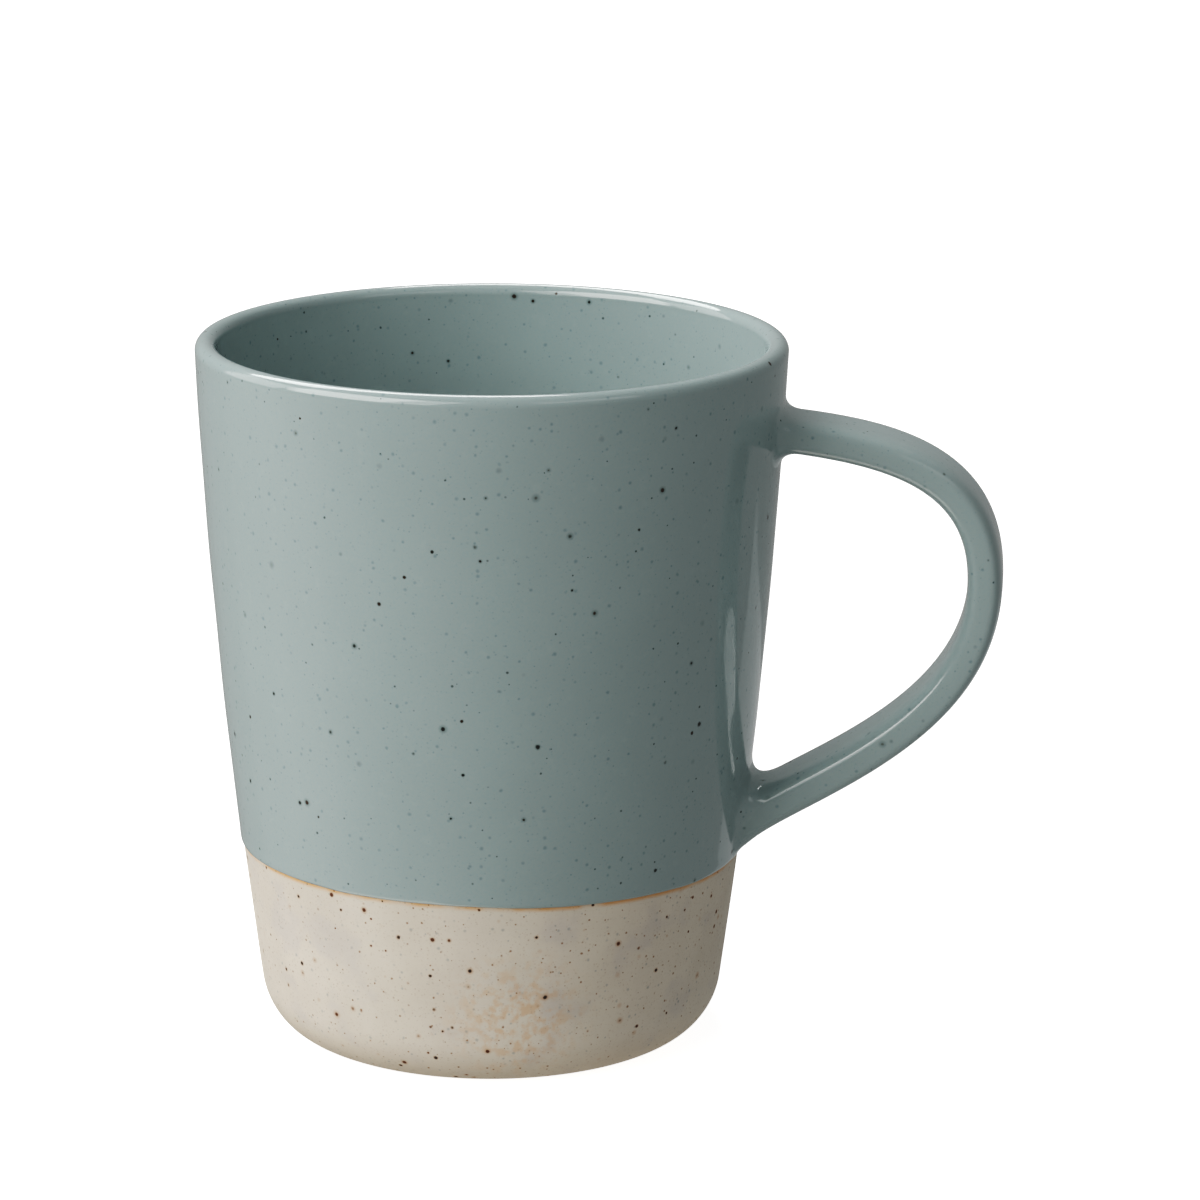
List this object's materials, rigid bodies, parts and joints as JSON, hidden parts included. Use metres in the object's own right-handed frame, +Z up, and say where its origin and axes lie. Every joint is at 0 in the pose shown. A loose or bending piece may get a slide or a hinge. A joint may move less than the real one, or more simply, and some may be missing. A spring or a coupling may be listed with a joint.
{
  "type": "ceramic mug",
  "caption": "Tapered stoneware coffee mug with a strap handle, speckled glaze inside and out, and a bare clay base.",
  "frame": {"origin": "centre of the foot ring, on the plane the mug rests on", "axes": "+Z up along the cup's axis, +X towards the handle"},
  "size_m": [0.1079, 0.079, 0.095],
  "materials": {
    "stoneware": "bare fired clay, matte, brown iron specks",
    "slip": "fired slip under the glaze, matte",
    "glaze": "glossy blue-grey glaze with dark specks"
  },
  "bodies": {
    "root": {"cup_body": "stoneware", "handle": "stoneware", "upper_slip_joint": "slip", "lower_slip_joint": "slip", "outer_glaze": "glaze", "inner_glaze": "glaze", "handle_glaze": "glaze"}
  },
  "joints": []
}
